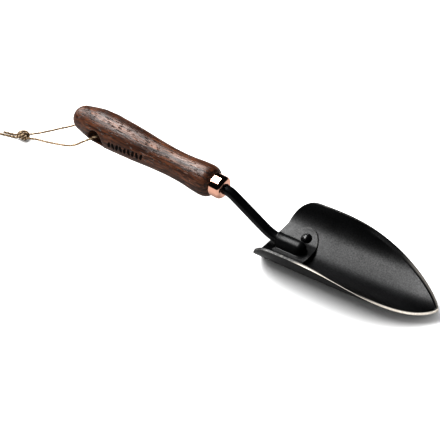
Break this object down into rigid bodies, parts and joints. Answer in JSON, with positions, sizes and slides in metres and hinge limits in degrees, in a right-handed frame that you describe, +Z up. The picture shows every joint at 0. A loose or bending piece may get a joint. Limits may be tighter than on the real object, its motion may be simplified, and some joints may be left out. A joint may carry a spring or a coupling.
{
  "type": "hand transplanter",
  "caption": "Narrow garden trowel: deep pointed steel blade, cranked round neck under a riveted saddle, turned wooden handle, copper ferrule, twine loop.",
  "frame": {"origin": "on the floor under the middle of the tool's length, in its plane of symmetry, leaving out the twine; the blade's belly touches z = 0", "axes": "+X along the tool from the handle's butt to the blade's tip, +Z up out of the blade's hollow, +Y to the left"},
  "size_m": [0.4119, 0.0696, 0.0584],
  "materials": {
    "black_powder_coat": "satin",
    "polished_copper": "polished",
    "dark_hardwood": "satin",
    "resin": "matte",
    "hemp_twine": "matte"
  },
  "bodies": {
    "root": {"blade": "black_powder_coat", "saddle_plate": "black_powder_coat", "rivet_near": "black_powder_coat", "rivet_far": "black_powder_coat", "neck": "black_powder_coat", "handle": "dark_hardwood", "ferrule": "polished_copper", "tang_adhesive": "resin", "hang_cord_near": "hemp_twine", "hang_cord_far": "hemp_twine", "cord_knot": "hemp_twine"}
  },
  "joints": []
}
